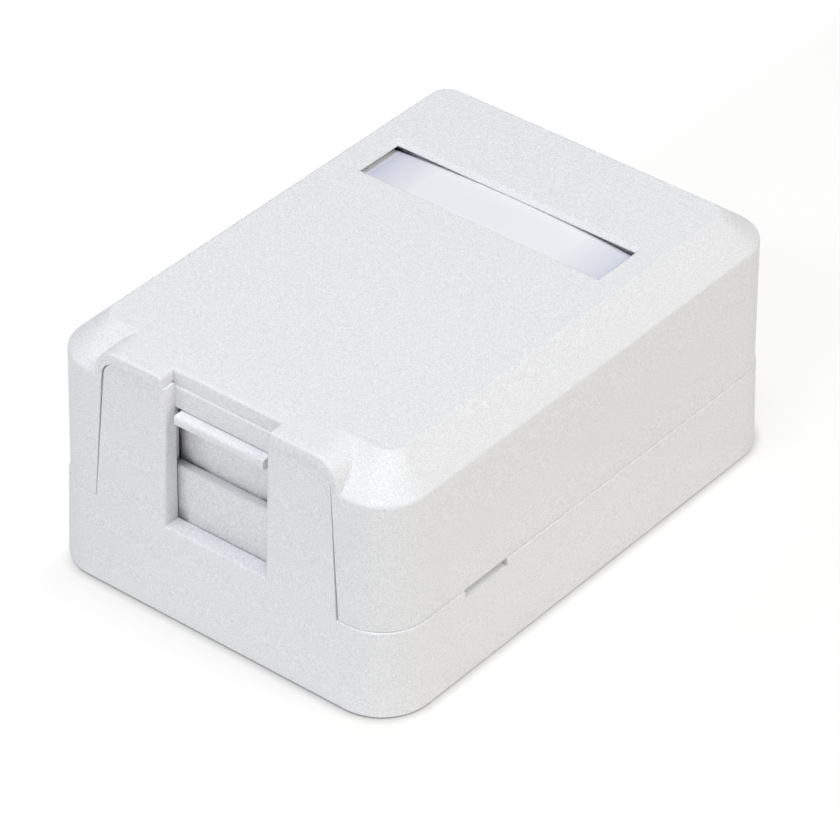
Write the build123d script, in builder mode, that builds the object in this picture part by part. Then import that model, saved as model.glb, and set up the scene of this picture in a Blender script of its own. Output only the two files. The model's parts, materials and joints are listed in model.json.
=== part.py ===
from build123d import *
import os
from math import cos, hypot, pi, radians, sin, tan

# Surface mount jack box for one modular jack. X runs across the box, Y from the port at the
# front to the cable end at the back, Z up from the wall or desk that it is fixed to.
# All sizes are in millimetres.

# Outer box
body_width = 44.0
body_length = 62.5
body_height = 28.2
corner_radius = 5.7
parting_height = 10.2
base_draft = 1.75
cover_draft = 0.75
parting_ledge = 0.12
base_edge_chamfer = 0.2
foot_edge_chamfer = 0.25
overrun = 1.0

# Base walls
floor_thickness = 2.0
side_wall = 1.9
end_wall = 2.3
inner_corner_radius = 3.4

# Cover walls
cover_side_wall = 2.2
roof_thickness = 1.8
bevel_drop = 3.5
bevel_side_run = 3.45
bevel_end_run = 4.35
panel_corner_radius = 1.8
shoulder_radius = 0.45
crease_radius = 0.3
lip_depth = 1.4
lip_overlap = 1.6
lip_thickness = 1.0
lip_clearance = 0.12
lip_setback = 11.5
tab_width = 6.0
tab_depth = 2.4
tab_pitch = 30.0

# Front panel of the base, which keeps the base's draft and so falls a little behind the cover
panel_foot_width = 30.4
panel_head_width = 27.86
panel_drop = 1.55
panel_head_radius = 1.6
panel_root = 1.4
seam_gap = 0.15
seam_top_gap = 0.05

# Raised hood of the cover over the front panel
hood_foot_width = 31.4
hood_head_width = 29.6
hood_head_radius = 3.0
hood_front_drop = 0.2
hood_edge_radius = 0.35

# Port window, lintel and the channel above it
window_width = 12.6
window_sill_step = 0.55
window_edge_radius = 0.35
sill_edge_radius = 0.25
lintel_drop = 0.3
lintel_height = 2.45
lintel_edge_radius = 0.2
lintel_end_overlap = 2.3
channel_setback = 2.5
channel_edge_radius = 0.35

# Pry slots in the rim of the base
pry_slot_length = 6.45
pry_slot_from_front = 11.55
pry_slot_height = 0.95
pry_slot_depth = 1.3
pry_slot_rise = 0.35

# Cable openings and fixing holes
floor_window_width = 12.0
floor_window_length = 5.4
floor_window_from_back = 14.05
floor_window_radius = 1.0
mount_hole_radius = 2.1
mount_pad_radius = 3.8
mount_pad_height = 0.8
mount_front_from_jack = 6.0
mount_rear_from_back = 6.85
breakout_width = 8.0
breakout_sill = 3.2
breakout_groove = 0.5
breakout_groove_depth = 0.45
cable_post_radius = 1.2
cable_post_head_radius = 1.8
cable_post_head = 0.9
cable_post_height = 7.0
cable_post_pitch = 12.6
cable_post_from_back = 8.65

# Shutter: two leaves that telescope downwards behind the front panel
slide_clearance = 0.1
leaf_width = 13.8
leaf_thickness = 1.05
leaf_overlap = 1.0
lower_leaf_hidden = 1.0
lower_leaf_edge_radius = 0.3
lower_leaf_flange = 0.6
lower_leaf_relief = 0.3
upper_leaf_hidden = 0.7
upper_leaf_share = 0.6616
upper_stop_height = 2.8
lower_stop_height = 1.65
leaf_gap = 0.15
hook_height = 0.3
hook_width = 12.0
hook_reach = 0.22
lip_width = 11.1
lip_drop = 0.08
lip_height = 1.15
lip_setback_front = 1.15
lip_nose_radius = 0.35
ear_reach = 3.0
ear_height = 1.6
ear_rise = 3.7
guide_rib_width = 0.95
guide_rib_clearance = 0.15

# Shutter guide frame and springs
guide_width = 22.8
guide_rise = 1.1
guide_wall = 1.2
guide_clearance = 0.15
guide_aperture_width = 12.2
guide_aperture_step = 0.1
guide_seat_height = 2.6
guide_seat_clearance = 0.05
guide_stop_height = 4.0
guide_stop_thickness = 0.85
guide_stop_width = 4.0
spring_mean_radius = 0.76
spring_wire_radius = 0.12
spring_turns = 7
spring_turn_steps = 10
spring_wire_sides = 5
spring_x = 8.95
spring_end_clearance = 0.05
spring_groove_clearance = 0.17

# Circuit board
board_width = 29.0
board_front_margin = 1.0
board_back_margin = 1.4
board_thickness = 1.6
board_corner_radius = 1.0
board_access_radius = 3.75
board_screw_x = 11.6
board_screw_from_jack = 10.0
board_hole_radius = 1.3
pin_hole_sides = 8
boss_radius = 2.5
boss_pilot_radius = 0.9
boss_floor = 1.4
post_radius = 1.8
post_x = 12.4
post_from_back = 3.0
hook_x = 10.0
hook_stem = 1.2
hook_stem_width = 4.0
hook_nose = 0.5
hook_nose_height = 1.0
hook_nose_clearance = 0.1
screw_head_radius = 2.1
screw_head_height = 1.5
screw_shank_radius = 0.86
screw_tip_gap = 1.1
screw_head_chamfer = 0.6
screw_recess_width = 2.4
screw_recess_slot = 0.6
screw_recess_depth = 0.8

# Modular jack
jack_width = 15.9
jack_height = 12.6
jack_roof_gap = 1.3
jack_length = 18.0
jack_front_gap = 0.25
jack_edge_radius = 0.4
plug_width = 11.9
plug_height = 7.0
plug_floor = 1.5
plug_depth = 13.0
latch_width = 6.2
latch_height = 2.2
latch_depth = 10.5
latch_step_width = 3.4
latch_step_height = 1.0
comb_slot_width = 0.62
comb_depth = 1.0
comb_front = 1.2
carrier_width = 11.2
carrier_length = 4.4
carrier_height = 5.2
carrier_clearance = 0.1
contact_pitch = 1.02
contact_count = 8
contact_width = 0.42
contact_thickness = 0.3
contact_run_height = 0.75
contact_front_inset = 2.6
contact_rise_angle = 18.0
contact_free_length = 9.0
contact_pin_setback = 1.6
contact_pin_stagger = 1.6
contact_tail = 1.1
contact_hole_radius = 0.4

# Punch down terminal blocks
idc_count = 4
idc_pitch = 4.0
idc_length = 17.4
idc_width = 7.4
idc_height = 10.9
idc_x = 9.6
idc_jack_gap = 1.7
idc_slot_width = 1.1
idc_slot_depth = 5.6
idc_slot_mouth = 0.5
idc_edge_radius = 0.35
blade_width = 2.3
blade_thickness = 0.5
blade_top = 1.4
blade_slit = 0.32
blade_slit_depth = 4.2
blade_mouth = 0.55
blade_tail_width = 0.7
blade_tail = 1.0
blade_clearance = 0.1
blade_hole_radius = 0.55

# Label window and strip
label_window_cover = 1.45
label_window_width = 7.1
label_window_from_back = 19.29
label_bevel = 0.48
label_floor = 0.6
label_pocket_margin = 1.03
label_pocket_width = 8.2
strip_end_gap = 0.3
strip_width = 6.95
strip_back_overlap = 0.2
strip_thickness = 0.18
strip_crown = 0.8
strip_crown_gap = 0.15
strip_foot_length = 2.1
strip_foot_thickness = 0.9
strip_foot_width = 7.6
strip_leg = 0.7
strip_foot_clearance = 0.04

# Heights and places that follow from the sizes above
base_inset = tan(radians(base_draft)) * parting_height
chamfer_inset = tan(radians(base_draft)) * (parting_height - base_edge_chamfer)
parting_width = body_width - 2 * base_inset
parting_length = body_length - 2 * base_inset
parting_radius = corner_radius - base_inset
cover_width = parting_width - 2 * parting_ledge
cover_length = parting_length - 2 * parting_ledge
cover_radius = parting_radius - parting_ledge
shoulder_height = body_height - bevel_drop
shoulder_inset = tan(radians(cover_draft)) * (shoulder_height - parting_height)
shoulder_width = cover_width - 2 * shoulder_inset
shoulder_length = cover_length - 2 * shoulder_inset
top_width = shoulder_width - 2 * bevel_side_run
top_length = shoulder_length - 2 * bevel_end_run
label_pocket_length = top_width - 2 * label_pocket_margin
label_window_length = label_pocket_length - 2 * label_window_cover
strip_length = label_pocket_length - 2 * strip_end_gap
panel_top = body_height - panel_drop
window_sill = parting_height + window_sill_step
lintel_top = panel_top - lintel_drop
lintel_bottom = lintel_top - lintel_height
window_height = lintel_bottom - window_sill
channel_width = window_width + 2 * window_edge_radius
front_y = -body_length / 2
back_y = body_length / 2
panel_back_y = front_y + end_wall
lower_leaf_front_y = panel_back_y + slide_clearance
lower_leaf_back_y = lower_leaf_front_y + leaf_thickness
upper_leaf_front_y = lower_leaf_back_y + leaf_gap
upper_leaf_back_y = upper_leaf_front_y + leaf_thickness
lintel_back_y = upper_leaf_front_y - slide_clearance
upper_leaf_top = lintel_bottom + upper_leaf_hidden
upper_leaf_bottom = upper_leaf_top - upper_leaf_share * window_height
lower_leaf_top = upper_leaf_bottom + leaf_overlap
lower_leaf_bottom = window_sill - lower_leaf_hidden
lip_top = lintel_bottom - lip_drop
ear_bottom = upper_leaf_bottom + ear_rise
guide_top = lintel_bottom + guide_rise
guide_front_y = upper_leaf_back_y + guide_clearance
guide_back_y = guide_front_y + guide_wall
jack_front_y = guide_back_y + jack_front_gap
jack_back_y = jack_front_y + jack_length
idc_y = jack_back_y + idc_jack_gap + idc_length / 2
board_front_y = jack_front_y + board_front_margin
board_back_y = idc_y + idc_length / 2 + board_back_margin
board_length = board_back_y - board_front_y
board_centre_y = (board_back_y + board_front_y) / 2
board_screw_y = jack_front_y + board_screw_from_jack
post_y = board_back_y - post_from_back
mount_front_y = jack_back_y + mount_front_from_jack
mount_rear_y = back_y - mount_rear_from_back
floor_window_y = back_y - floor_window_from_back
cable_post_y = back_y - cable_post_from_back
label_window_y = back_y - label_window_from_back
roof_underside = body_height - roof_thickness
board_top = roof_underside - jack_roof_gap - jack_height
board_underside = board_top - board_thickness
guide_aperture_bottom = board_top + guide_aperture_step
boss_pilot_bottom = floor_thickness + boss_floor
screw_bottom = boss_pilot_bottom + screw_tip_gap
cavity_width = body_width - 2 * side_wall
cavity_length = body_length - 2 * end_wall
cover_cavity_width = body_width - 2 * cover_side_wall
spring_y = (upper_leaf_front_y + upper_leaf_back_y) / 2
spring_seat = floor_thickness + guide_seat_height
strip_crown_height = body_height - label_floor - strip_crown_gap


def block(x_span, y_span, z_span, mode=Mode.ADD):
    """Adds or cuts a block between the given low and high values, in the part being built."""
    centre = tuple((low + high) / 2 for low, high in (x_span, y_span, z_span))
    with Locations(centre):
        Box(*(high - low for low, high in (x_span, y_span, z_span)), mode=mode)


def centred(width):
    """The low and high value of a width that lies evenly about zero."""
    return (-width / 2, width / 2)


def pair(sign, low, high):
    """A span from low to high on the side given by sign, 1 for right and -1 for left."""
    return tuple(sorted((sign * low, sign * high)))


def panel_outline(foot_width, head_width, foot, head, head_radius):
    """Draws the tapering upright outline shared by the front panel, its opening and the hood."""
    with BuildLine() as outline:
        Polyline(
            (-foot_width / 2, foot),
            (foot_width / 2, foot),
            (head_width / 2, head),
            (-head_width / 2, head),
            close=True,
        )
    make_face(outline.edges())
    fillet(vertices().group_by(Axis.Y)[-1], head_radius)


# Block that carries the base's draft on to the top. The front panel is cut from it.
with BuildPart() as front_block:
    with BuildSketch():
        RectangleRounded(body_width, body_length, corner_radius)
    extrude(amount=body_height, taper=base_draft)

with BuildPart() as front_panel:
    with BuildSketch(Plane.XZ.offset(body_length / 2 + overrun)):
        panel_outline(
            panel_foot_width, panel_head_width, parting_height - panel_root, panel_top, panel_head_radius
        )
    extrude(amount=-(end_wall + overrun))
    add(front_block.part, mode=Mode.INTERSECT)

# Block of the cover's outer form carried straight up, which trims the front of the hood
with BuildPart() as hood_block:
    with BuildSketch(Plane.XY.offset(parting_height)):
        RectangleRounded(cover_width, cover_length, cover_radius)
    extrude(amount=body_height - parting_height + overrun, taper=cover_draft)

# The hood runs back from the front at a slight rise and dies out at the edge of the top panel
hood_run = (shoulder_length - top_length) / 2 + overrun
hood_start_y = -top_length / 2 - hood_run
hood_slope = hood_front_drop / bevel_end_run
hood_start_top = body_height - hood_slope * hood_run
hood_length = hypot(hood_run, hood_slope * hood_run)
with BuildPart() as hood:
    with BuildSketch(Plane.XZ.offset(-hood_start_y)):
        panel_outline(
            hood_foot_width, hood_head_width, shoulder_height - bevel_drop, hood_start_top, hood_head_radius
        )
    extrude(amount=hood_length, dir=Vector(0, 1, hood_slope).normalized())
    add(hood_block.part, mode=Mode.INTERSECT)
    front_edges = faces().sort_by(Axis.Y)[0].edges()
    fillet(front_edges.sort_by(Axis.Z)[1:], hood_edge_radius)

# Lintel that closes the port window at its top, rounded where it shows
with BuildPart() as lintel:
    block(
        centred(window_width + 2 * lintel_end_overlap),
        (panel_back_y, lintel_back_y),
        (lintel_bottom, lintel_top),
    )
    fillet(edges().filter_by(Axis.X).group_by(Axis.Z)[-1].sort_by(Axis.Y)[0], lintel_edge_radius)

# Base: shell with the front panel, the port window and the seats for all that it holds
with BuildPart() as base_tray:
    with BuildSketch():
        RectangleRounded(body_width, body_length, corner_radius)
    extrude(amount=parting_height - base_edge_chamfer, taper=base_draft)
    chamfer(faces().sort_by(Axis.Z)[0].edges(), foot_edge_chamfer)
    with BuildSketch(Plane.XY.offset(parting_height - base_edge_chamfer)):
        RectangleRounded(
            body_width - 2 * chamfer_inset, body_length - 2 * chamfer_inset, corner_radius - chamfer_inset
        )
    with BuildSketch(Plane.XY.offset(parting_height)):
        RectangleRounded(
            parting_width - 2 * base_edge_chamfer,
            parting_length - 2 * base_edge_chamfer,
            parting_radius - base_edge_chamfer,
        )
    loft()
    with BuildSketch(Plane.XY.offset(floor_thickness)):
        RectangleRounded(cavity_width, cavity_length, inner_corner_radius)
    extrude(amount=parting_height, mode=Mode.SUBTRACT)
    add(front_panel.part)

    # Port window, open at its top where the lintel behind it closes the port
    window_z = (window_sill, panel_top + overrun)
    block(centred(window_width), (front_y - overrun, panel_back_y), window_z, Mode.SUBTRACT)
    window_edges = ShapeList(
        e for e in edges() if abs(abs(e.center().X) - window_width / 2) < slide_clearance
    )
    upright_edges = window_edges.filter_by(lambda e: e.length > (panel_top - window_sill) / 2)
    fillet(upright_edges.sort_by(Axis.Y)[:2], window_edge_radius)
    sill_edges = edges().filter_by(Axis.X).filter_by_position(
        Axis.Z, window_sill - slide_clearance, window_sill + slide_clearance
    )
    fillet(sill_edges.sort_by(Axis.Y)[0], sill_edge_radius)
    add(lintel.part)

    # Ribs that guide the lower leaf, its stop, and stops that hold the guide frame's foot
    for side in (-1, 1):
        rib_in = leaf_width / 2 + guide_rib_clearance
        block(
            pair(side, rib_in, rib_in + guide_rib_width),
            (panel_back_y - sill_edge_radius, lintel_back_y),
            (floor_thickness - foot_edge_chamfer, lintel_bottom + lintel_edge_radius),
        )
        stop_out = guide_width / 2
        block(
            pair(side, stop_out - guide_stop_width, stop_out),
            (guide_back_y + slide_clearance, guide_back_y + slide_clearance + guide_stop_thickness),
            (floor_thickness - foot_edge_chamfer, floor_thickness + guide_stop_height),
        )

    block(
        centred(leaf_width),
        (panel_back_y - sill_edge_radius, lower_leaf_back_y),
        (floor_thickness - foot_edge_chamfer, floor_thickness + lower_stop_height),
    )

    # Pry slots in both side rims, with a floor that falls outwards
    slot_low = parting_height - pry_slot_height
    slot_front_y = front_y + pry_slot_from_front
    for side in (-1, 1):
        with BuildSketch(Plane.XZ.offset(-slot_front_y)):
            with BuildLine():
                Polyline(
                    (side * (body_width / 2 + overrun), slot_low),
                    (side * (parting_width / 2), slot_low),
                    (side * (parting_width / 2 - pry_slot_depth), slot_low + pry_slot_rise),
                    (side * (parting_width / 2 - pry_slot_depth), parting_height + overrun),
                    (side * (body_width / 2 + overrun), parting_height + overrun),
                    close=True,
                )
            make_face()
        extrude(amount=-pry_slot_length, mode=Mode.SUBTRACT)

    # Seats for the circuit board
    with BuildSketch(Plane.XY.offset(floor_thickness)):
        with Locations((-board_screw_x, board_screw_y), (board_screw_x, board_screw_y)):
            Circle(boss_radius)
        with Locations((-post_x, post_y), (post_x, post_y)):
            Circle(post_radius)
    extrude(amount=board_underside - floor_thickness)
    with Locations(
        (-board_screw_x, board_screw_y, board_underside), (board_screw_x, board_screw_y, board_underside)
    ):
        Hole(boss_pilot_radius, depth=board_underside - boss_pilot_bottom)
    nose_low = board_top + hook_nose_clearance
    stem_front_y = board_back_y + hook_nose_clearance
    with BuildSketch(Plane.YZ.offset(hook_x - hook_stem_width / 2)) as snap_profile:
        with BuildLine():
            Polyline(
                (stem_front_y, floor_thickness),
                (stem_front_y, nose_low),
                (stem_front_y - hook_nose, nose_low),
                (stem_front_y, nose_low + hook_nose_height),
                (stem_front_y + hook_stem, nose_low + hook_nose_height),
                (stem_front_y + hook_stem, floor_thickness),
                close=True,
            )
        make_face()
    extrude(amount=hook_stem_width)
    with BuildSketch(Plane.YZ.offset(-hook_x - hook_stem_width / 2)):
        add(snap_profile.sketch_local)
    extrude(amount=hook_stem_width)

    # Fixing holes, floor window for a cable from the wall, and posts that grip the cable
    with BuildSketch(Plane.XY.offset(floor_thickness)):
        with Locations((0, mount_front_y), (0, mount_rear_y)):
            Circle(mount_pad_radius)
    extrude(amount=mount_pad_height)
    with Locations((0, mount_front_y, 0), (0, mount_rear_y, 0)):
        Hole(mount_hole_radius)
    with BuildSketch(Plane.XY.offset(-overrun)):
        with Locations((0, floor_window_y)):
            RectangleRounded(floor_window_width, floor_window_length, floor_window_radius)
    extrude(amount=floor_thickness + 2 * overrun, mode=Mode.SUBTRACT)
    with BuildSketch(Plane.XY.offset(floor_thickness)):
        with Locations((0, cable_post_y)):
            with GridLocations(cable_post_pitch, 0, 2, 1):
                Circle(cable_post_radius)
    extrude(amount=cable_post_height)
    with BuildSketch(Plane.XY.offset(floor_thickness + cable_post_height)):
        with Locations((0, cable_post_y)):
            with GridLocations(cable_post_pitch, 0, 2, 1):
                Circle(cable_post_head_radius)
    extrude(amount=cable_post_head)

    # Scored outline of the breakout for a cable along the wall
    with BuildSketch(Plane.XZ.offset(-(parting_length / 2 - breakout_groove_depth))):
        groove_height = parting_height + overrun - breakout_sill
        with Locations((0, breakout_sill + groove_height / 2)):
            RectangleRounded(breakout_width, groove_height, breakout_width / 4)
            RectangleRounded(
                breakout_width - 2 * breakout_groove,
                groove_height - 2 * breakout_groove,
                breakout_width / 4 - breakout_groove,
                mode=Mode.SUBTRACT,
            )
    extrude(amount=-(side_wall + overrun), mode=Mode.SUBTRACT)
base_tray.part.label = "base_tray"

# Cover: drafted walls, bevel all round, hood, and the cavity that follows them inside
bevel_end_slope = bevel_drop / bevel_end_run
bevel_side_slope = bevel_drop / bevel_side_run


def cavity_inset(slope):
    """How far the cavity's top edge lies inside the top panel's edge, for an even bevel wall."""
    return roof_thickness * (hypot(1, slope) - 1) / slope


cavity_top_width = top_width - 2 * cavity_inset(bevel_side_slope)
cavity_top_length = top_length - 2 * cavity_inset(bevel_end_slope)
cavity_shoulder = roof_underside - (cavity_length - cavity_top_length) / 2 * bevel_end_slope
with BuildPart() as top_cover:
    with BuildSketch(Plane.XY.offset(parting_height)):
        RectangleRounded(cover_width, cover_length, cover_radius)
    extrude(amount=shoulder_height - parting_height, taper=cover_draft)
    with BuildSketch(Plane.XY.offset(shoulder_height)):
        RectangleRounded(shoulder_width, shoulder_length, cover_radius - shoulder_inset)
    with BuildSketch(Plane.XY.offset(body_height)):
        RectangleRounded(top_width, top_length, panel_corner_radius)
    loft(ruled=True)
    shoulder_edges = edges().filter_by_position(
        Axis.Z, shoulder_height - slide_clearance, shoulder_height + slide_clearance
    )
    fillet(shoulder_edges, shoulder_radius)
    fillet(faces().sort_by(Axis.Z)[-1].edges(), crease_radius)
    add(hood.part)

    # Channel that carries the port window up through the hood
    channel_back_y = front_y + channel_setback
    block(
        centred(channel_width),
        (front_y - overrun, channel_back_y),
        (lintel_top, body_height + overrun),
        Mode.SUBTRACT,
    )
    channel_rim = ShapeList(e for e in edges() if e.center().Z > panel_top + seam_top_gap)
    channel_back = channel_rim.filter_by(
        lambda e: abs(e.center().Y - channel_back_y) < slide_clearance and e.length > channel_width / 2
    )
    channel_sides = channel_rim.filter_by(
        lambda e: abs(abs(e.center().X) - channel_width / 2) < slide_clearance
    ).filter_by(lambda e: e.center().Y < channel_back_y)
    fillet(channel_back + channel_sides, channel_edge_radius)

    # Cavity
    with BuildSketch(Plane.XY.offset(parting_height - overrun)):
        RectangleRounded(cover_cavity_width, cavity_length, inner_corner_radius)
    extrude(amount=cavity_shoulder - parting_height + overrun, mode=Mode.SUBTRACT)
    with BuildSketch(Plane.XY.offset(cavity_shoulder)):
        RectangleRounded(cover_cavity_width, cavity_length, inner_corner_radius)
    with BuildSketch(Plane.XY.offset(roof_underside)):
        RectangleRounded(cavity_top_width, cavity_top_length, panel_corner_radius)
    loft(mode=Mode.SUBTRACT)

    # Opening for the front panel, and room for the lintel and the guide frame behind it
    with BuildSketch(Plane.XZ.offset(body_length / 2 + overrun)):
        panel_outline(
            panel_foot_width + 2 * seam_gap,
            panel_head_width + 2 * seam_gap,
            parting_height - panel_root,
            panel_top + seam_top_gap,
            panel_head_radius + seam_gap,
        )
    extrude(amount=-(end_wall + seam_gap + overrun), mode=Mode.SUBTRACT)
    block(
        centred(window_width + 2 * (lintel_end_overlap + seam_gap)),
        (panel_back_y, lintel_back_y + seam_gap),
        (lintel_bottom - seam_gap, lintel_top),
        Mode.SUBTRACT,
    )
    block(
        centred(guide_width + 2 * seam_gap),
        (panel_back_y, -cavity_top_length / 2 + overrun),
        (lintel_bottom - bevel_drop, guide_top + guide_clearance),
        Mode.SUBTRACT,
    )

    # Lip that locates the cover inside the base, with tabs on the two long sides
    lip_outer_width = cavity_width - 2 * lip_clearance
    lip_outer_length = cavity_length - 2 * lip_clearance
    lip_outer_radius = inner_corner_radius - lip_clearance
    with BuildSketch(Plane.XY.offset(parting_height - lip_depth)) as lip_sketch:
        RectangleRounded(lip_outer_width, lip_outer_length, lip_outer_radius)
        RectangleRounded(
            lip_outer_width - 2 * lip_thickness,
            lip_outer_length - 2 * lip_thickness,
            lip_outer_radius - lip_thickness,
            mode=Mode.SUBTRACT,
        )
        with Locations((0, front_y)):
            Rectangle(body_width, 2 * lip_setback, mode=Mode.SUBTRACT)
    extrude(amount=lip_depth + lip_overlap)
    with BuildSketch(Plane.XY.offset(parting_height - lip_depth - tab_depth)):
        with GridLocations(lip_outer_width - lip_thickness, tab_pitch, 2, 2):
            Rectangle(lip_thickness, tab_width)
    extrude(amount=tab_depth)

    # Label window with its bevel, the pocket under it, and feet that carry the strip's ends
    pocket_top = body_height - label_floor
    with BuildSketch(Plane.XY.offset(roof_underside - overrun)):
        with Locations((0, label_window_y)):
            Rectangle(label_pocket_length, label_pocket_width)
    extrude(amount=pocket_top - roof_underside + overrun, mode=Mode.SUBTRACT)
    with BuildSketch(Plane.XY.offset(pocket_top - overrun)):
        with Locations((0, label_window_y)):
            Rectangle(label_window_length - 2 * label_bevel, label_window_width - 2 * label_bevel)
    extrude(amount=label_floor + 2 * overrun, mode=Mode.SUBTRACT)
    with BuildSketch(Plane.XY.offset(body_height - label_bevel)):
        with Locations((0, label_window_y)):
            Rectangle(label_window_length - 2 * label_bevel, label_window_width - 2 * label_bevel)
    with BuildSketch(Plane.XY.offset(body_height)):
        with Locations((0, label_window_y)):
            Rectangle(label_window_length, label_window_width)
    loft(mode=Mode.SUBTRACT)
    strip_back_y = label_window_y + label_window_width / 2 - label_bevel + strip_back_overlap
    strip_y = strip_back_y - strip_width / 2
    strip_end_height = strip_crown_height - strip_crown - strip_thickness
    foot_top = strip_end_height - strip_foot_clearance
    for side in (-1, 1):
        foot_out = label_pocket_length / 2 + strip_leg
        foot_in = label_pocket_length / 2 - strip_foot_length
        block(
            pair(side, foot_in, foot_out),
            (strip_y - strip_foot_width / 2, strip_y + strip_foot_width / 2),
            (foot_top - strip_foot_thickness, foot_top),
        )
        block(
            pair(side, label_pocket_length / 2, foot_out),
            (strip_y - strip_foot_width / 2, strip_y + strip_foot_width / 2),
            (foot_top - strip_foot_thickness, roof_underside + label_bevel),
        )
top_cover.part.label = "top_cover"

# Paper strip, bowed along its length between the two feet
with BuildPart() as label_strip:
    crown_low = strip_crown_height - strip_thickness
    with BuildSketch(Plane.XZ.offset(-(strip_y + strip_width / 2))):
        with BuildLine():
            upper = ThreePointArc(
                (-strip_length / 2, strip_crown_height - strip_crown),
                (0, strip_crown_height),
                (strip_length / 2, strip_crown_height - strip_crown),
            )
            Line(upper @ 1, (strip_length / 2, crown_low - strip_crown))
            lower = ThreePointArc(
                (strip_length / 2, crown_low - strip_crown),
                (0, crown_low),
                (-strip_length / 2, crown_low - strip_crown),
            )
            Line(lower @ 1, upper @ 0)
        make_face()
    extrude(amount=strip_width)
label_strip.part.label = "label_strip"

# Lower leaf: its flange at the top is lifted by the hook of the upper leaf
with BuildPart() as shutter_lower_leaf:
    leaf_y = (lower_leaf_front_y, lower_leaf_back_y)
    block(centred(leaf_width), leaf_y, (lower_leaf_bottom, lower_leaf_top))
    top_front = edges().filter_by(Axis.X).group_by(Axis.Z)[-1].sort_by(Axis.Y)[0]
    fillet(top_front, lower_leaf_edge_radius)
    block(
        centred(hook_width + 2 * slide_clearance),
        (lower_leaf_back_y - lower_leaf_relief, lower_leaf_back_y + overrun),
        (lower_leaf_bottom - overrun, lower_leaf_top - lower_leaf_flange),
        Mode.SUBTRACT,
    )
shutter_lower_leaf.part.label = "shutter_lower_leaf"

# Upper leaf: plate, finger lip, ears that press on the springs, and the hook at its foot
with BuildPart() as shutter_upper_leaf:
    block(
        centred(leaf_width),
        (upper_leaf_front_y, upper_leaf_back_y),
        (upper_leaf_bottom, upper_leaf_top),
    )
    block(
        centred(leaf_width + 2 * ear_reach),
        (upper_leaf_front_y, upper_leaf_back_y),
        (ear_bottom, ear_bottom + ear_height),
    )
    block(
        centred(hook_width),
        (upper_leaf_front_y - leaf_gap - hook_reach, upper_leaf_back_y),
        (upper_leaf_bottom, upper_leaf_bottom + hook_height),
    )
    lip_front_y = front_y + lip_setback_front
    block(
        centred(lip_width),
        (lip_front_y, upper_leaf_back_y),
        (lip_top - lip_height, lip_top),
    )
    lip_edges = edges().filter_by(Axis.X).group_by(Axis.Y)[0]
    fillet(lip_edges, lip_nose_radius)
shutter_upper_leaf.part.label = "shutter_upper_leaf"

# Guide frame: back wall with the plug aperture, cheeks, spring seats and the upper leaf's stop
with BuildPart() as shutter_guide:
    block(centred(guide_width), (guide_front_y, guide_back_y), (floor_thickness, guide_top))
    ear_out = leaf_width / 2 + ear_reach + guide_clearance
    for side in (-1, 1):
        block(
            pair(side, ear_out, guide_width / 2),
            (panel_back_y + guide_seat_clearance, guide_back_y),
            (floor_thickness, guide_top),
        )
        block(
            pair(side, leaf_width / 2 + guide_rib_width + 2 * guide_rib_clearance, guide_width / 2),
            (upper_leaf_front_y, guide_back_y),
            (floor_thickness, spring_seat),
        )
    block(
        centred(guide_aperture_width),
        (guide_front_y - overrun, guide_back_y + overrun),
        (guide_aperture_bottom, lintel_bottom),
        Mode.SUBTRACT,
    )
    groove_radius = spring_mean_radius + spring_wire_radius + spring_groove_clearance
    with BuildSketch(Plane.XY.offset(spring_seat)):
        with Locations((-spring_x, spring_y), (spring_x, spring_y)):
            Circle(groove_radius)
    extrude(amount=ear_bottom - spring_seat, mode=Mode.SUBTRACT)
    block(
        centred(leaf_width),
        (upper_leaf_front_y, guide_back_y),
        (floor_thickness, floor_thickness + upper_stop_height),
    )
    aperture_edges = edges().filter_by(Axis.Y).filter_by_position(
        Axis.X, -guide_aperture_width / 2, guide_aperture_width / 2
    )
    fillet(aperture_edges, lip_nose_radius)
shutter_guide.part.label = "shutter_guide"


def shutter_spring(side, name):
    """Compression spring from its seat in the guide frame up to the ear of the upper leaf."""
    low = spring_seat + spring_end_clearance + spring_wire_radius
    high = ear_bottom - spring_end_clearance - spring_wire_radius
    steps = spring_turns * spring_turn_steps
    points = [
        (
            side * spring_x + spring_mean_radius * cos(2 * pi * step / spring_turn_steps),
            spring_y + spring_mean_radius * sin(2 * pi * step / spring_turn_steps),
            low + (high - low) * step / steps,
        )
        for step in range(steps + 1)
    ]
    with BuildPart() as spring:
        with BuildLine():
            coil = Polyline(*points)
        with BuildSketch(Plane(origin=coil @ 0, z_dir=coil % 0)):
            RegularPolygon(spring_wire_radius, spring_wire_sides)
        sweep(transition=Transition.RIGHT)
    spring.part.label = name
    return spring


# Circuit board with its holes
contact_x = [(index - (contact_count - 1) / 2) * contact_pitch for index in range(contact_count)]
contact_pin_y = [
    jack_back_y - contact_pin_setback - contact_pin_stagger * (index % 2) for index in range(contact_count)
]
idc_slot_y = [idc_y + (index - (idc_count - 1) / 2) * idc_pitch for index in range(idc_count)]
with BuildPart() as circuit_board:
    with BuildSketch(Plane.XY.offset(board_underside)):
        with Locations((0, board_centre_y)):
            RectangleRounded(board_width, board_length, board_corner_radius)
        with Locations((0, mount_front_y)):
            Circle(board_access_radius, mode=Mode.SUBTRACT)
        with Locations((-board_screw_x, board_screw_y), (board_screw_x, board_screw_y)):
            Circle(board_hole_radius, mode=Mode.SUBTRACT)
        with Locations(*zip(contact_x, contact_pin_y)):
            RegularPolygon(contact_hole_radius, pin_hole_sides, mode=Mode.SUBTRACT)
        with Locations(*[(side * idc_x, y) for side in (-1, 1) for y in idc_slot_y]):
            RegularPolygon(blade_hole_radius, pin_hole_sides, mode=Mode.SUBTRACT)
    extrude(amount=board_thickness)
circuit_board.part.label = "circuit_board"


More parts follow.
